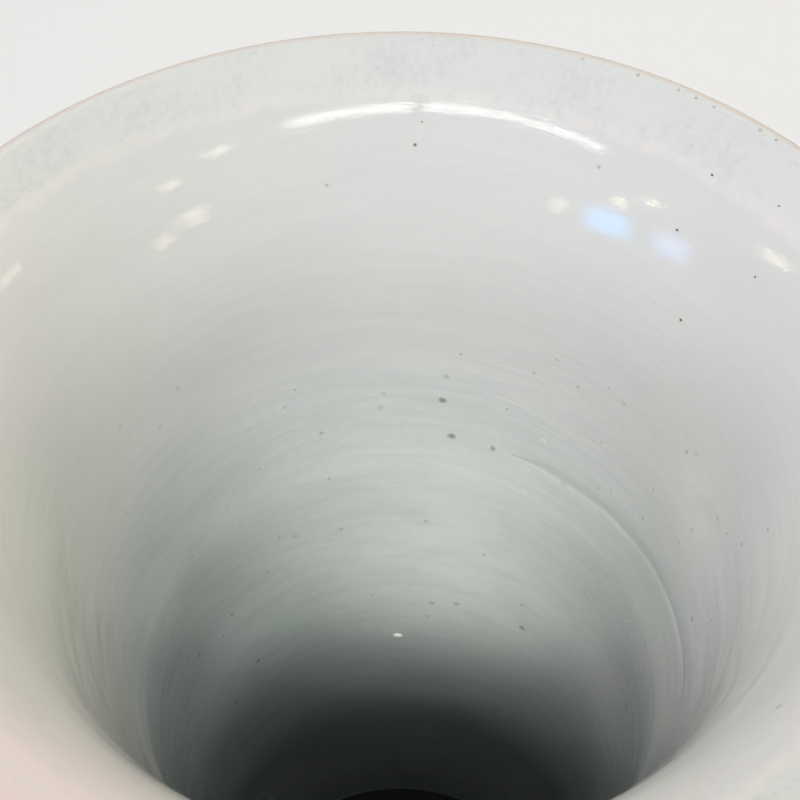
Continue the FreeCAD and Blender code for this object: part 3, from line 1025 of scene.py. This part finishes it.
# Stage. A plain floor of pale paper, 12 m wide, that the vase stands on. To the camera it is mostly an even
# tone, which lights nothing, so the vase's shadow on it stays soft.
FLOOR_COLOR = (0.80, 0.80, 0.80, 1)
TONE_COLOR = (0.84, 0.84, 0.85, 1)
tone_share = 0.7
floor_size = 12.0
floor_form = bmesh.new()
bmesh.ops.create_grid(floor_form, x_segments=1, y_segments=1, size=floor_size / 2)
floor_mesh = bpy.data.meshes.new("floor")
floor_form.to_mesh(floor_mesh)
floor_form.free()
floor = add_object("floor", floor_mesh)
floor_material = bpy.data.materials.new("floor_paper")
floor_material.use_nodes = True
floor_shader = floor_material.node_tree.nodes["Principled BSDF"]
floor_shader.inputs["Base Color"].default_value = FLOOR_COLOR
floor_shader.inputs["Roughness"].default_value = 0.9
floor_tree = floor_material.node_tree
glow = add_node(floor_tree, "Emission", inputs={"Color": TONE_COLOR, "Strength": 1.0})
watched = floor_tree.nodes.new("ShaderNodeLightPath").outputs["Is Camera Ray"]
toned = times(floor_tree, watched, tone_share)
paper = add_node(floor_tree, "MixShader", inputs={
    0: toned, 1: floor_shader.outputs[0], 2: glow.outputs[0]})
floor_tree.links.new(paper.outputs[0], floor_tree.nodes["Material Output"].inputs["Surface"])
floor_mesh.materials.append(floor_material)

# World. A soft ring of light round the sides, cooler at the left and warmer at the right, and none overhead,
# where the camera leans over the mouth. Beyond the floor the camera sees a plain pale wall.
side_light = 0.31
LEFT_TINT = (0.97, 0.97, 1.0, 1)
RIGHT_TINT = (1.0, 0.93, 0.80, 1)
WALL_COLOR = (0.86, 0.86, 0.86, 1)
dim_band = [math.sin(math.radians(degrees)) for degrees in (43, 47)]
world = bpy.data.worlds.new("studio")
bpy.context.scene.world = world
world.use_nodes = True
sky = world.node_tree
sky.nodes.clear()
direction = sky.nodes.new("ShaderNodeTexCoord").outputs["Generated"]
split = add_node(sky, "SeparateXYZ", inputs={0: direction})
dim_top = ramp_node(sky, split.outputs["Z"], *dim_band, side_light, 0.0)
sideways = ramp_node(sky, split.outputs["X"], -1.0, 1.0)
tint = mix_color(sky, sideways, LEFT_TINT, RIGHT_TINT)
lit = add_node(sky, "Background", inputs={"Color": tint, "Strength": dim_top})
seen = add_node(sky, "Background", inputs={"Color": WALL_COLOR, "Strength": 1.0})
path = sky.nodes.new("ShaderNodeLightPath")
choose = add_node(sky, "MixShader", inputs={
    0: path.outputs["Is Camera Ray"], 1: lit.outputs[0], 2: seen.outputs[0]})
add_node(sky, "OutputWorld", inputs={"Surface": choose.outputs[0]})

# Lamps. Three soft keys behind the camera and four tinted fills beyond the vase light the clay and aren't
# mirrored. A strip, a window and small room lamps are mirrored in the glaze and don't light it. The upper
# lamp has the strip's place, and only lights.
mouth_middle = Vector((0, 0, 0.41))
lamp_distance = 1.6


def area_lamp(name, place, aim, size, radiance, color=(1, 1, 1)):
    """A soft rectangular lamp of an even brightness at a place, turned to face a point."""
    light = bpy.data.lights.new(name, "AREA")
    light.shape = "RECTANGLE"
    light.size, light.size_y = size
    light.energy = radiance * math.pi * light.size * light.size_y
    light.color = color
    lamp = add_object(name, light)
    lamp.location = place
    lamp.rotation_euler = (Vector(aim) - Vector(place)).to_track_quat("-Z", "Y").to_euler()
    return lamp


def lamp_towards(name, azimuth, elevation, size, radiance, color):
    """A soft lamp round the mouth, at degrees from the far side and above the level, that isn't mirrored."""
    round_turn, up_turn = math.radians(azimuth), math.radians(elevation)
    level = math.cos(up_turn)
    away = Vector((math.sin(round_turn) * level, math.cos(round_turn) * level, math.sin(up_turn)))
    lamp = area_lamp(name, mouth_middle + away * lamp_distance, mouth_middle, size, radiance, color)
    lamp.visible_glossy = False


def lamp_mirrored_at(name, pixel, size, radiance, color):
    """A lamp that the smooth wall mirrors at a pixel of the photograph."""
    angle, height = wall_at_pixel(pixel)
    index = bisect.bisect(wall_heights, height / 1000)
    spot, out = wall_place(wall_reach[index] - line_reach)
    turn = math.radians(angle)
    spot = round_axis(spot, turn)
    out = round_axis(out, turn)
    sight = (spot - camera_place).normalized()
    away = sight - out * 2 * sight.dot(out)
    lamp = area_lamp(name, spot + away * lamp_distance, spot, size, radiance, color)
    lamp.visible_diffuse = False


KEY_SIZE = (0.25, 0.20)
FILL_SIZE = (0.45, 0.25)
lamp_towards("key_lamp", -178, 50, KEY_SIZE, 77, (0.90, 1.0, 0.88))
lamp_towards("side_key", -152, 50, KEY_SIZE, 31, (1.0, 0.89, 0.86))
lamp_towards("low_key", -165, 46, KEY_SIZE, 31, (1.0, 0.90, 0.98))
lamp_towards("far_lamp", 0, 28, FILL_SIZE, 25, (0.97, 1.0, 0.80))
lamp_towards("right_lamp", 60, 28, FILL_SIZE, 13, (1.0, 0.84, 0.45))
lamp_towards("left_lamp", -60, 28, FILL_SIZE, 7.2, (0.92, 0.84, 1.0))
lamp_towards("low_lamp", 32, 12, FILL_SIZE, 9, (1.0, 0.72, 0.80))

strip_start = Vector((0.518, -0.897, 1.571))
strip_end = Vector((-1.236, -0.897, 1.891))
strip_height = 0.10
strip_run = strip_end - strip_start
strip_middle = (strip_start + strip_end) / 2
strip_back = strip_middle - mouth_middle
strip_across = strip_back.cross(strip_run).normalized()
strip_back = strip_run.cross(strip_across).normalized()
strip_turn = Matrix((strip_run.normalized(), strip_across, strip_back)).transposed()
strip_size = (strip_run.length, strip_height)
strip_lamp = area_lamp("strip_lamp", strip_middle, mouth_middle, strip_size, 9, (1.0, 0.985, 0.95))
strip_lamp.visible_diffuse = False
upper_lamp = area_lamp("upper_lamp", strip_middle, mouth_middle, strip_size, 12, (0.80, 0.90, 1.0))
upper_lamp.visible_glossy = False
for lamp in (strip_lamp, upper_lamp):
    lamp.rotation_euler = strip_turn.to_euler()

lamp_mirrored_at("window_lamp", (606, 228), (0.30, 0.36), 8, (0.0, 0.42, 1.0))
lamp_mirrored_at("pane_lamp", (670, 250), (0.24, 0.28), 5, (0.3, 0.5, 1.0))
WARM_SPOTS = [(559, 205), (620, 205), (652, 205), (219, 153), (169, 187), (163, 242), (11, 277)]
WARM_STREAKS = [(195, 217), (774, 260)]
WARM_COLOR = (1.0, 0.86, 0.55)
SPOT_SIZE = (0.05, 0.032)
STREAK_SIZE = (0.16, 0.03)
for index, pixel in enumerate(WARM_SPOTS):
    lamp_mirrored_at("room_lamp_%d" % index, pixel, SPOT_SIZE, 36, WARM_COLOR)
for index, pixel in enumerate(WARM_STREAKS):
    lamp_mirrored_at("long_lamp_%d" % index, pixel, STREAK_SIZE, 20, WARM_COLOR)
